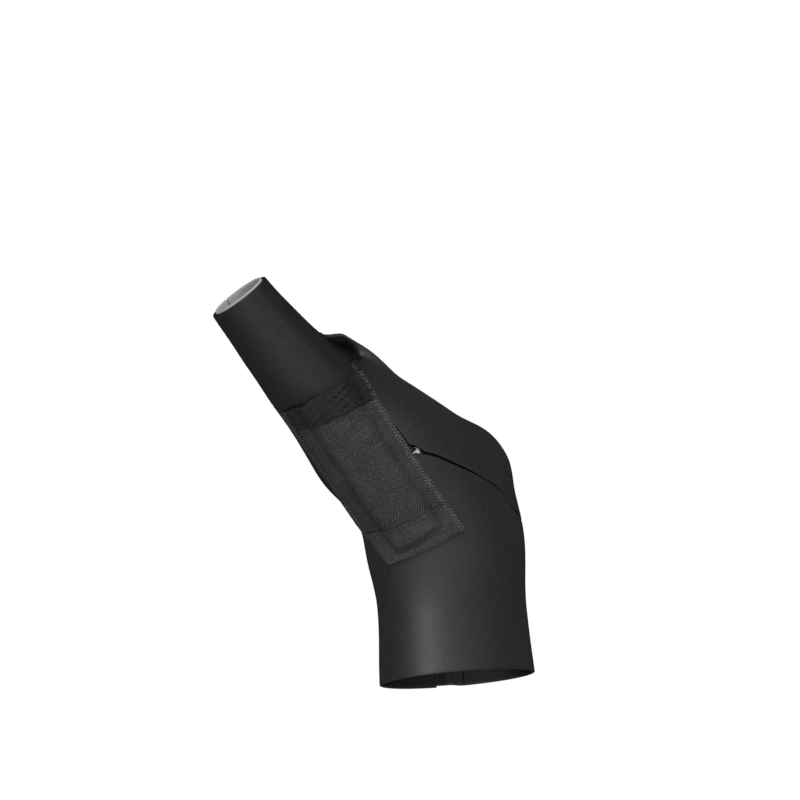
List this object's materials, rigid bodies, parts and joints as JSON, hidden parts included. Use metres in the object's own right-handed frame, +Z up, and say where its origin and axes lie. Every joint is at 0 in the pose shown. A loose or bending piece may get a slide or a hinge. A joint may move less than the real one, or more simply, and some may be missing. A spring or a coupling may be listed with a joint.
{
  "type": "wrist and thumb support brace",
  "caption": "Black elastic wrist and thumb support brace with a thumb sleeve, a hand strap, a wrist band and a stitched pocket that holds a removable stay.",
  "frame": {"origin": "centre of the wrist band's lower opening, in the plane of its lower edge", "axes": "+Z up the forearm towards the hand; -Y out of the face that carries the stay pocket; the thumb sleeve leans towards -X; +X towards the hand strap's side"},
  "size_m": [0.1001, 0.0854, 0.1446],
  "materials": {
    "laminate": "matte elastic laminate",
    "lining_grey": "light-grey lining",
    "seam_tape": "woven tape",
    "hook_tape": "hook tape",
    "loop_tape": "loop pile",
    "pocket_twill": "twill weave",
    "hem_band": "flat folded band",
    "thread": "polyester thread",
    "dipped_cap": "dipped vinyl",
    "stay_aluminium": "brushed"
  },
  "bodies": {
    "brace": {"thumb_sleeve": "laminate", "thumb_opening_lining": "lining_grey", "sleeve_seam_tape": "seam_tape", "hand_strap": "laminate", "palm_panel": "laminate", "palm_panel_loop": "loop_tape", "wrist_band": "laminate", "wrist_band_loop": "loop_tape", "pocket_backing": "pocket_twill", "pocket_cover": "pocket_twill", "pocket_top_hem": "hem_band", "pocket_bottom_hem": "hem_band", "pocket_stitches_dorsal": "thread", "pocket_stitches_palmar": "thread"},
    "stay": {"support_stay": "stay_aluminium", "stay_cap_thumb_end": "dipped_cap", "stay_cap_wrist_end": "dipped_cap"},
    "strap_tab": {"hand_strap_tab": "laminate", "hand_strap_hook": "hook_tape"},
    "band_tab": {"wrist_band_tab": "laminate", "wrist_band_hook": "hook_tape"}
  },
  "joints": [
    {"name": "stay_slide", "type": "slide", "parent": "brace", "child": "stay", "axis": [-0.4588, -0.3014, 0.8359], "range_m": [0, 0.064]},
    {"name": "strap_peel", "type": "hinge", "parent": "brace", "child": "strap_tab", "pos_m": [0.00438, 0.02551, 0.05744], "axis": [0.0784, 0.0116, -0.9969], "range_deg": [0, 100]},
    {"name": "band_peel", "type": "hinge", "parent": "brace", "child": "band_tab", "pos_m": [-0.00242, 0.02339, 0.02476], "axis": [-0.0216, -0.0355, -0.9991], "range_deg": [0, 110]}
  ]
}
